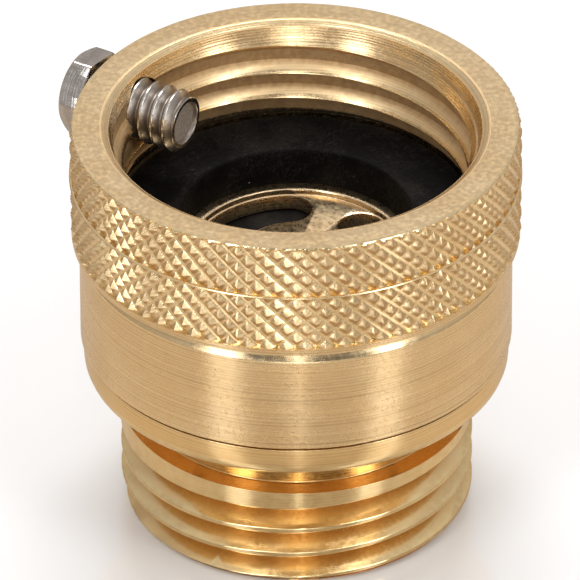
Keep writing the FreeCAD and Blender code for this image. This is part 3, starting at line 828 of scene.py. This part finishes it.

# %% [markdown]
# ## The spring
# The wire is a tube swept along a helix. A Screw modifier could make it too, but the sweep below
# leaves the wire's round ends where they belong. When the check opens, the spring shortens. Here it
# rides on the valve's body, is not moved, and gets a mesh of its own.

# %% Spring
WIRE_RADIUS, COIL_RADIUS, COIL_TURNS = 0.30, 2.9, 4.5
SPIDER_HIGH = 10.65
COIL_LOW, COIL_HIGH = SPIDER_HIGH + 0.32, CUP_LOW - 0.32
STATIONS, WIRE_CORNERS = 185, 14
stations = np.linspace(0, 1, STATIONS)
swing = 2 * math.pi * COIL_TURNS * stations
middle = round_axis(COIL_RADIUS, swing, COIL_LOW + (COIL_HIGH - COIL_LOW) * stations)
ahead = np.gradient(middle, axis=0)
ahead /= np.linalg.norm(ahead, axis=1)[:, None]
outward = round_axis(1, swing, 0)
upward = np.cross(ahead, outward)
section = 2 * math.pi * np.arange(WIRE_CORNERS) / WIRE_CORNERS
rings = [(0, 0.75, -0.06)] + [(number, 1, 0) for number in range(STATIONS)] + [(-1, 0.75, 0.06)]
layers = []
for number, shrink, push in rings:  # the first and the last ring soften the wire's cut ends
    ring = np.cos(section)[:, None] * outward[number] + np.sin(section)[:, None] * upward[number]
    layers.append(middle[number] + ahead[number] * push + ring * WIRE_RADIUS * shrink)
spring = stack("check_spring_wound", layers, sharp_degrees=60)
stand_in(spring, "valve_body", "check_spring")
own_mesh(spring)

# %% [markdown]
# ## The guide spider
# The spider is a small casting: a ring in the outlet's bore, a hub for the stem and three arms.
# Ring and hub are turned. Each arm is stacked from outlines that are narrower at the top and the
# bottom, which softens the cast, and a Boolean join makes one closed mesh of them all.

# %% Guide spider
SPIDER_LOW, RIM_INSIDE, RIM_OUTSIDE = SPIDER_LEDGE, 8.67, 9.77
HUB_BORE, HUB_RADIUS, SPRING_SEAT, SHOULDER = 1.05, 2.4, 3.7, 9.75
ARM_HALF, ARM_COUNT, FIRST_ARM = 0.75, 3, math.radians(30)
ring_outline = [(RIM_INSIDE, SPIDER_LOW), (RIM_OUTSIDE, SPIDER_LOW)]
ring_outline += [(RIM_OUTSIDE, SPIDER_HIGH), (RIM_INSIDE, SPIDER_HIGH)]
spider = turn("guide_spider_cast", [(rounded(ring_outline, 0.15, 3), 96)])
hub_outline = [(HUB_BORE, SPIDER_LOW, 0.1), (HUB_RADIUS, SPIDER_LOW, 0.2), (HUB_RADIUS, SHOULDER, 0.3)]
hub_outline += [(SPRING_SEAT, SHOULDER, 0.2), (SPRING_SEAT, SPIDER_HIGH, 0.15)]
joined = [turn("hub", [(rounded(hub_outline + [(HUB_BORE, SPIDER_HIGH, 0.1)], steps=3), 72)])]
softening = [(0.2, SPIDER_LOW), (0.06, SPIDER_LOW + 0.1), (0, SPIDER_LOW + 0.3)]
softening += [(0, SPIDER_HIGH - 0.3), (0.06, SPIDER_HIGH - 0.1), (0.2, SPIDER_HIGH)]
for number, angle in enumerate(evenly_spread(ARM_COUNT, FIRST_ARM)):
    layers = []
    for inset, height in softening:
        half = ARM_HALF - inset
        flare = [(2.1, half + 0.25), (2.6, half), (8.2, half), (8.9, half + 0.35)]
        along, sideways = np.array(flare + [(out, -side) for out, side in reversed(flare)]).T
        layers.append(round_axis(along, angle, height, sideways))
    joined.append(stack(f"arm_{number}", layers))
cut(spider, joined, how="UNION")
stand_in(spider, "valve_body", "guide_spider")

# %% [markdown]
# ## Finishes from node groups
# A finish is more than a colour. Turned brass has fine rings from the tool, clouds of tarnish,
# polished edges, dirt in its valleys, and small pits. Each of these effects is a node group, so a
# material only places the groups it needs and gives each its own values.
#
# All patterns are worked out from a position in millimetres in the piece's own lathe frame, with
# the lathe's axis along Z. The set screw lies on its side, so a Mapping node turns its positions.

# %% Helper that adds a node
def node(tree, kind, inputs=None, **settings):
    """Adds a node. An input given as a socket is linked, any other value is set."""
    made = tree.nodes.new("ShaderNode" + kind)
    for name, value in settings.items():
        setattr(made, name, value)
    for name, value in (inputs or {}).items():
        if isinstance(value, bpy.types.NodeSocket):
            tree.links.new(value, made.inputs[name])
        else:
            made.inputs[name].default_value = value
    return made


# %% Helpers for maths
def maths(tree, how, first, second=0.0, third=0.0, clamp=False):
    """The result of one Math node."""
    made = node(tree, "Math", {0: first, 1: second, 2: third}, operation=how, use_clamp=clamp)
    return made.outputs[0]


def times(tree, first, second):
    """One value times another."""
    return maths(tree, "MULTIPLY", first, second)


def add_up(tree, start, parts):
    """A start value plus parts, each a socket and how much of it is added."""
    for value, amount in parts:
        start = maths(tree, "MULTIPLY_ADD", value, amount, start)
    return start


def fit(tree, value, low, high, to_low=0.0, to_high=1.0):
    """Stretches a value from one range to another, with soft ends."""
    inputs = {"Value": value, "From Min": low, "From Max": high, "To Min": to_low, "To Max": to_high}
    return node(tree, "MapRange", inputs, interpolation_type="SMOOTHSTEP").outputs["Result"]


# %% Helpers for noise and positions
def noise(tree, place, scale, detail):
    """A noise from 0 to 1 at a place."""
    inputs = {"Vector": place, "Scale": scale, "Detail": detail}
    return node(tree, "TexNoise", inputs).outputs["Fac"]


def axes_of(tree, vector):
    """The three axes of a vector, in order or by name."""
    return node(tree, "SeparateXYZ", {0: vector}).outputs


def vector_of(tree, x, y, z=0.0):
    """A vector from its three axes."""
    return node(tree, "CombineXYZ", {"X": x, "Y": y, "Z": z}).outputs[0]


# %% Helpers for node groups
def new_group(name, inputs, outputs):
    """An empty group from its inputs, as (name, value), and its outputs. No value is a vector."""
    tree = bpy.data.node_groups.new(name, "ShaderNodeTree")
    for label, value in inputs:
        kind = "NodeSocketVector" if value is None else "NodeSocketFloat"
        socket = tree.interface.new_socket(label, in_out="INPUT", socket_type=kind)
        if value is not None:
            socket.default_value = value
    for label in outputs:
        tree.interface.new_socket(label, in_out="OUTPUT", socket_type="NodeSocketFloat")
    return tree, tree.nodes.new("NodeGroupInput").outputs, tree.nodes.new("NodeGroupOutput").inputs


def use_group(tree, name, inputs):
    """Places a group with its own values and gives its outputs."""
    return node(tree, "Group", inputs, node_tree=bpy.data.node_groups[name]).outputs


# %% [markdown]
# ### Turning marks
# The tool leaves rings. On a wall they lie above each other, on a face inside each other, and on a
# slope both. One number that grows with the radius and with the height serves for all of them. A
# sine wave of it makes the regular lines of the tool's feed, and noises that are stretched out
# along the ring and squeezed across it make the lines uneven in place, depth and width. The flat
# end faces were cut with a finer feed, so where the surface faces up or down the lines are faint.

# %% Group: turning marks
tree, given, out = new_group(
    "turning marks",
    [("Position", None), ("Facing", None), ("Lines per mm", 4.5), ("Waver", 0.02)],
    ["Height", "Shade", "Line"],
)
x, y, z = axes_of(tree, given["Position"])
flat = vector_of(tree, x, y)
radius = node(tree, "VectorMath", {0: flat}, operation="LENGTH").outputs["Value"]
across = maths(tree, "MULTIPLY_ADD", radius, 0.83, times(tree, z, 1.17))
around_x, around_y = (times(tree, axis, given["Waver"]) for axis in (x, y))


def stretched_noise(squeeze, detail):
    """A noise that changes fast across the lines and slowly along them."""
    place = vector_of(tree, times(tree, across, squeeze), around_x, around_y)
    return noise(tree, place, 1.0, detail)


fine = stretched_noise(given["Lines per mm"], 3.0)
broad = stretched_noise(1.8, 2.0)
strength = stretched_noise(2.9, 2.0)
phase = maths(tree, "MULTIPLY_ADD", broad, 2.5, times(tree, across, given["Lines per mm"]))
wave = maths(tree, "SINE", times(tree, phase, 2 * math.pi))
line = times(tree, fit(tree, wave, -0.3, 0.9), fit(tree, strength, 0.36, 0.60, 0.5, 1.0))
upward = maths(tree, "ABSOLUTE", axes_of(tree, given["Facing"])["Z"])
on_wall = fit(tree, upward, 0.90, 0.97, 1.0, 0.15)
line = times(tree, line, on_wall)
height = maths(tree, "MULTIPLY_ADD", line, -0.6, times(tree, fit(tree, fine, 0.25, 0.75), on_wall))
tree.links.new(height, out["Height"])
tree.links.new(fit(tree, broad, 0.3, 0.7), out["Shade"])
tree.links.new(line, out["Line"])
print("turning marks group has", len(tree.nodes), "nodes")

# %% [markdown]
# ### Tarnish, wear and dirt, with painted light
# Tarnish is a soft cloud in two sizes. Wear and painted highlight lie on the marked edges, and a
# noise breaks them up, as no edge is polished evenly. Dirt and painted shade lie in the marked
# hollows, more even.

# %% Groups: tarnish clouds, and wear and dirt with painted light
tree, given, out = new_group(
    "tarnish clouds",
    [("Position", None), ("Size mm", 4.0), ("Low", 0.35), ("High", 0.65)],
    ["Mask", "Mottle"],
)
cloud = noise(tree, given["Position"], maths(tree, "DIVIDE", 1.0, given["Size mm"]), 4.0)
tree.links.new(fit(tree, cloud, given["Low"], given["High"]), out["Mask"])
tree.links.new(fit(tree, noise(tree, given["Position"], 2.6, 5.0), 0.32, 0.68), out["Mottle"])

tree, given, out = new_group(
    "wear and dirt with painted light", [("Position", None), ("Edge", 0.0), ("Dirt and shade mark", 0.0)], ["Wear and highlight", "Dirt and shade"]
)
breaks = noise(tree, given["Position"], 1.3, 4.0)
for mark, full, least, label in (("Edge", 0.8, 0.35, "Wear and highlight"), ("Dirt and shade mark", 0.9, 0.75, "Dirt and shade")):
    broken = fit(tree, breaks, 0.3, 0.7, least, 1.0)
    tree.links.new(times(tree, fit(tree, given[mark], 0.1, full), broken), out[label])

# %% [markdown]
# ### Specks and scratches
# Specks are the middles of Voronoi cells, and only a share of the cells has one. Scratches follow
# the thin lines where a stretched noise crosses its middle value, in three directions.

# %% Groups: specks and scratches
tree, given, out = new_group(
    "specks", [("Position", None), ("Per mm", 1.2), ("Size", 0.12), ("Share", 0.3)], ["Mask"]
)
cells = node(tree, "TexVoronoi", {"Vector": given["Position"], "Scale": given["Per mm"]}).outputs
chosen = node(tree, "SeparateColor", {0: cells["Color"]}).outputs
is_speck = maths(tree, "LESS_THAN", chosen[0], given["Share"])
reach = times(tree, given["Size"], maths(tree, "ADD", chosen[1], 0.3))
near = fit(tree, cells["Distance"], times(tree, reach, 0.6), reach, 1.0, 0.0)
tree.links.new(times(tree, near, is_speck), out["Mask"])

tree, given, out = new_group(
    "scratches", [("Position", None), ("Length mm", 3.0), ("Amount", 0.5)], ["Mask"]
)
scratches = 0.0
for lean in (0.4, -0.7, 1.25):
    turned = {"Vector": given["Position"], "Rotation": (lean, lean * 0.6, lean)}
    x, y, z = axes_of(tree, node(tree, "Mapping", turned).outputs[0])
    along = maths(tree, "DIVIDE", x, given["Length mm"])
    field = noise(tree, vector_of(tree, along, times(tree, y, 3.1), times(tree, z, 3.1)), 1.0, 1.0)
    off_middle = maths(tree, "ABSOLUTE", maths(tree, "SUBTRACT", field, 0.5))
    scratches = maths(tree, "MAXIMUM", fit(tree, off_middle, 0.0, 0.012, 1.0, 0.0), scratches)
limit = maths(tree, "SUBTRACT", 0.8, times(tree, given["Amount"], 0.6))
where = noise(tree, given["Position"], 0.35, 2.0)
patchy = fit(tree, where, limit, maths(tree, "ADD", limit, 0.15))
tree.links.new(times(tree, scratches, patchy), out["Mask"])
print([group.name for group in bpy.data.node_groups])

# %% [markdown]
# ### Metals
# Every metal here is made the same way from those groups, and only the values differ: how yellow
# it is, how dark its tarnish and its dirt and painted shade are, how rough it is and how deep the
# tool's lines are. Each effect mixes its own colour into the colour so far, and some add to the
# roughness and the height. Wear and painted highlight come last, because a polished edge is bare
# metal.

# %% Helpers that mix colours
def mix(tree, share, first, second):
    """Mixes two colours, each a socket or a tuple of red, green and blue."""
    made = node(tree, "Mix", {"Factor": share}, data_type="RGBA")
    sockets = [socket for socket in made.inputs if socket.type == "RGBA"]
    for socket, colour in zip(sockets, (first, second)):
        if isinstance(colour, bpy.types.NodeSocket):
            tree.links.new(colour, socket)
        else:
            socket.default_value = (*colour, 1)
    return next(socket for socket in made.outputs if socket.type == "RGBA")


def paint(tree, shader, colour, layers):
    """Lays colours over a first one. A layer is its mask, how much of it shows, and its colour."""
    for mask, share, other in layers:
        colour = mix(tree, times(tree, mask, share), colour, other)
    tree.links.new(colour, shader["Base Color"])


# %% Helpers that start a material and end it with a bump
UPRIGHT = Matrix.Identity(4)
ON_SCREW = Matrix.Rotation(-math.pi / 2, 4, "Y") @ Matrix.Rotation(-SCREW_ANGLE, 4, "Z")
ON_SCREW = ON_SCREW @ Matrix.Translation((0, 0, -SCREW_HEIGHT))


def start_material(name, lathe_frame):
    """A material with its shader, and the position in millimetres in the piece's lathe frame."""
    material = bpy.data.materials.new(name)
    material.use_nodes = True
    tree = material.node_tree
    place, turned, _ = lathe_frame.decompose()
    inputs = {"Location": place, "Rotation": turned.to_euler(), "Scale": (1 / MM,) * 3}
    inputs["Vector"] = node(tree, "TexCoord").outputs["Object"]
    position = node(tree, "Mapping", inputs, vector_type="POINT").outputs[0]
    return material, tree, tree.nodes["Principled BSDF"].inputs, position


def set_bump(tree, shader, height):
    """Turns a height in millimetres into the shader's normal."""
    bump = node(tree, "Bump", {"Strength": 1.0, "Distance": MM, "Height": height})
    tree.links.new(bump.outputs[0], shader["Normal"])


# %% Helper that builds a metal
def metal(name, bright, deep, dirt_and_shade_tone, roughness, line_depth, lines=4.5, waver=0.02, pits=0.3,
          line_shade=0.4, scratches=0.25, matt_valleys=0.18, lathe_frame=UPRIGHT):
    """A metal finish from its bright and its tarnished colour and the colour of its dirt and painted
    shade.
    """
    material, tree, shader, position = start_material(name, lathe_frame)
    normal = node(tree, "TexCoord").outputs["Normal"]
    inputs = {"Vector": normal, "Rotation": lathe_frame.to_euler()}
    facing = node(tree, "Mapping", inputs, vector_type="NORMAL").outputs[0]
    edge, dirt_and_shade, grain = (
        node(tree, "Attribute", attribute_name=mark).outputs["Fac"] for mark in MARKS
    )
    at = {"Position": position}
    feed = at | {"Facing": facing, "Lines per mm": lines, "Waver": waver}
    lathe = use_group(tree, "turning marks", feed)
    cloud = use_group(tree, "tarnish clouds", at)
    worn = use_group(tree, "wear and dirt with painted light", at | {"Edge": edge, "Dirt and shade mark": dirt_and_shade})
    pit = use_group(tree, "specks", at | {"Per mm": 1.6, "Size": 0.16, "Share": pits})["Mask"]
    scratch = use_group(tree, "scratches", at | {"Length mm": 4.0, "Amount": scratches})["Mask"]
    crumbs = times(tree, grain, noise(tree, position, 5.0, 4.0))
    smooth = maths(tree, "SUBTRACT", 1.0, maths(tree, "MAXIMUM", grain, dirt_and_shade), clamp=True)
    line = times(tree, lathe["Line"], smooth)
    line_colour = tuple(channel * 0.5 for channel in deep)
    polish_and_highlight = tuple(min(1.0, channel * 1.12 + 0.02) for channel in bright)

    # The dirt layer also paints shade into the marked hollows, and the wear layer also paints
    # highlights on the knurl's groove bottoms and its raised ring.
    paint(tree, shader, bright, [
        (cloud["Mask"], 0.7, deep), (cloud["Mottle"], 0.25, deep), (lathe["Shade"], 0.25, deep),
        (line, line_shade, line_colour), (crumbs, 1.0, dirt_and_shade_tone), (worn["Dirt and shade"], 0.58, dirt_and_shade_tone),
        (pit, 0.6, dirt_and_shade_tone), (worn["Wear and highlight"], 0.9, polish_and_highlight),
    ])
    tree.links.new(add_up(tree, 1.0, [(grain, -0.8)]), shader["Metallic"])

    parts = [(cloud["Mottle"], 0.10), (lathe["Height"], 0.06), (grain, 0.45), (dirt_and_shade, matt_valleys)]
    tree.links.new(add_up(tree, roughness, parts + [(worn["Wear and highlight"], -0.075)]), shader["Roughness"])

    height = times(tree, lathe["Height"], fit(tree, dirt_and_shade, 0.02, 0.3, line_depth, 0.0))
    parts = [(cloud["Mottle"], 0.03 * line_depth), (pit, -0.02), (scratch, -0.003), (crumbs, 0.08)]
    set_bump(tree, shader, add_up(tree, height, parts))
    return material


def give(piece, material):
    """Puts one material on a piece."""
    piece.data.materials.clear()
    piece.data.materials.append(material)


# %% Metals of the valve
# Each metal's third colour is that of its dirt and of the shade painted into its hollows.
collar_brass = metal(
    "collar brass, satin and knurled", (0.94, 0.73, 0.44), (0.87, 0.63, 0.34), (0.28, 0.15, 0.06),
    roughness=0.17, line_depth=0.007, lines=3.4, pits=0.0, line_shade=0.5, scratches=0.0,
    matt_valleys=0.45,
)
# The nipple's third colour is a deep orange, the painted shade and reflections of its neck and
# grooves.
nipple_brass = metal(
    "nipple brass, bright turned", (0.95, 0.705, 0.38), (0.89, 0.62, 0.29), (0.60, 0.32, 0.09),
    roughness=0.13, line_depth=0.005, lines=3.6, pits=0.0, scratches=0.0, matt_valleys=0.0,
)
plate_brass = metal(
    "plate brass, stamped", (0.84, 0.65, 0.41), (0.74, 0.55, 0.32), (0.24, 0.16, 0.08),
    roughness=0.26, line_depth=0.008, lines=3.5, waver=0.3,
)
spider_brass = metal(
    "spider brass, cast", (0.72, 0.56, 0.33), (0.55, 0.39, 0.20), (0.2, 0.13, 0.06),
    roughness=0.42, line_depth=0.012, lines=1.2, waver=1.2, pits=0.6, line_shade=0.1,
)
screw_nickel = metal(
    "screw steel, nickel grey", (0.52, 0.495, 0.47), (0.40, 0.375, 0.35), (0.14, 0.085, 0.04),
    roughness=0.20, line_depth=0.004, lathe_frame=ON_SCREW, pits=0.2, line_shade=0.1,
)
inner_steel = metal(
    "stainless steel, turned", (0.62, 0.61, 0.60), (0.50, 0.49, 0.48), (0.15, 0.14, 0.13),
    roughness=0.22, line_depth=0.004,
)
spring_steel = metal(
    "stainless spring wire", (0.55, 0.55, 0.56), (0.40, 0.40, 0.42), (0.12, 0.11, 0.10),
    roughness=0.20, line_depth=0.001, lines=9.0, line_shade=0.1,
)
finishes = [
    (collar, collar_brass), (nipple, nipple_brass), (plate, plate_brass), (spider, spider_brass),
    (screw, screw_nickel), (cup, inner_steel), (stem, inner_steel), (clip, spring_steel),
    (spring, spring_steel),
]
for piece, material in finishes:
    give(piece, material)
print("metals:", sorted({material.name for _, material in finishes}))

# %% [markdown]
# ### Rubber
# The rubber is black and matt. What makes it look real is what lies on it: pale smudges where it
# was touched, a few specks of dust, and the fine grain of its mould.

# %% Rubber finishes
SCUFFED, DUST = (0.10, 0.09, 0.08), (0.30, 0.28, 0.25)


def rubber(name, black, smudge, roughness, dust_share):
    """A rubber finish from its black, the colour of its smudges and its share of dust."""
    material, tree, shader, position = start_material(name, UPRIGHT)
    at = {"Position": position}
    cloud = use_group(tree, "tarnish clouds", at | {"Size mm": 3.0, "Low": 0.45, "High": 0.75})
    dust = use_group(tree, "specks", at | {"Per mm": 1.1, "Size": 0.09, "Share": dust_share})["Mask"]
    scuff = use_group(tree, "scratches", at | {"Length mm": 1.5, "Amount": 0.7})["Mask"]
    layers = [(cloud["Mask"], 0.8, smudge), (scuff, 0.25, SCUFFED), (dust, 1.0, DUST)]
    paint(tree, shader, black, layers)
    tree.links.new(add_up(tree, roughness, [(cloud["Mottle"], 0.12)]), shader["Roughness"])
    grain = noise(tree, position, 7.0, 3.0)
    set_bump(tree, shader, add_up(tree, 0.0, [(grain, 0.02), (dust, 0.04)]))
    shader["Specular IOR Level"].default_value = 0.07
    return material


give(washer, rubber("washer rubber", (0.003, 0.003, 0.003), (0.012, 0.010, 0.009), 0.62, 0.10))
give(diaphragm, rubber("diaphragm rubber", (0.010, 0.010, 0.010), (0.03, 0.028, 0.026), 0.55, 0.06))
give(disc, rubber("disc rubber", (0.014, 0.013, 0.012), (0.035, 0.032, 0.03), 0.55, 0.06))
print("rubbers:", [piece.active_material.name for piece in (washer, diaphragm, disc)])

# %% [markdown]
# ## Floor and light
# The valve stands on a sheet of glossy white acrylic. Brass that mirrors a pure white sheet looks
# pale, but in the photograph the brass is deep orange between its threads. So a Light Path node
# gives the sheet a darker and warmer colour for the rays that come from a reflection, and to the
# camera it stays white.

# %% Floor
SHEET_WHITE, SHEET_IN_METAL = (0.93, 0.95, 0.975), (0.535, 0.455, 0.37)
FLOOR_HALF = 1500
corners = [(-1, -1, 0), (1, -1, 0), (1, 1, 0), (-1, 1, 0)]
floor = add_mesh("floor", np.array(corners) * FLOOR_HALF, [np.array([[0, 1, 2, 3]])])
floor_material = bpy.data.materials.new("white acrylic")
floor_material.use_nodes = True
tree = floor_material.node_tree
shader = tree.nodes["Principled BSDF"].inputs
in_metal = node(tree, "LightPath").outputs["Is Glossy Ray"]
tree.links.new(mix(tree, in_metal, SHEET_WHITE, SHEET_IN_METAL), shader["Base Color"])
for label, value in (("Roughness", 0.08), ("IOR", 1.7), ("Specular IOR Level", 1.0)):
    shader[label].default_value = value
give(floor, floor_material)
print("floor", round(2 * FLOOR_HALF * MM, 1), "m wide")

# %% [markdown]
# Two tall soft boxes stand left and right of the camera and a narrow one in the middle. The camera
# looks down at the round walls and so sees the sheet in them, and the sheet mirrors the boxes. They
# show as upright streaks. A low wide box brightens the lead-in at the back of the socket, and a
# large one from behind lights the top face. The room is dark round the camera and above it, a
# little darker on the left, and pale elsewhere, which gives the brass its contrast.

# %% Lights
AIM = Vector((0, 0, 18)) * MM  # near the middle of the valve


def soft_box(name, azimuth, elevation, distance, size, watts):
    """A rectangular light that faces the valve. Azimuth 0 is the camera's side, 90 the right."""
    data = bpy.data.lights.new(name, "AREA")
    data.shape = "RECTANGLE"
    data.size, data.size_y = size
    data.energy = watts
    light = bpy.data.objects.new(name, data)
    bpy.context.scene.collection.objects.link(light)
    a, e = math.radians(azimuth), math.radians(elevation)
    spot = Vector((math.sin(a) * math.cos(e), -math.cos(a) * math.cos(e), math.sin(e))) * distance
    light.location = spot + AIM
    light.rotation_euler = (-spot).to_track_quat("-Z", "Y").to_euler()


soft_box("left box", -38, 40, 0.7, (0.17, 0.80), 1.6)
soft_box("right box", 48, 40, 0.7, (0.17, 0.80), 1.6)
soft_box("middle box", 1, 30, 0.8, (0.05, 0.70), 0.45)
soft_box("low box", 0, 14, 0.8, (0.36, 0.10), 0.35)
soft_box("back box", 180, 62, 0.9, (0.50, 0.30), 4.2)
print("soft boxes:", {light.name: round(light.energy, 2) for light in bpy.data.lights})

# %% The room
world = bpy.data.worlds.new("pale room")
bpy.context.scene.world = world
world.use_nodes = True
tree = world.node_tree
x, y, z = axes_of(tree, node(tree, "TexCoord").outputs["Generated"])
ramp = node(tree, "ValToRGB", {0: z})
stops = [(0.0, (0.42, 0.35, 0.29)), (0.2, (0.50, 0.45, 0.40)), (0.56, (0.56, 0.53, 0.52))]
stops += [(0.85, (0.66, 0.62, 0.58)), (1.0, (0.72, 0.68, 0.64))]
elements = ramp.color_ramp.elements
while len(elements) < len(stops):
    elements.new(0.5)
for element, (where, colour) in zip(elements, stops):
    element.position, element.color = where, (*colour, 1)
in_front = fit(tree, times(tree, y, -1.0), 0.2, 0.75)
shade = times(tree, times(tree, in_front, fit(tree, z, 0.28, 0.50)), 0.75)
on_left = fit(tree, times(tree, x, -1.0), 0.35, 0.75, 0.0, 0.14)
room = mix(tree, maths(tree, "MAXIMUM", shade, on_left), ramp.outputs["Color"], (0.02, 0.02, 0.02))
tree.links.new(room, tree.nodes["Background"].inputs["Color"])
bpy.context.scene.view_settings.view_transform = "Standard"
print("room colours from below to above:", len(elements))
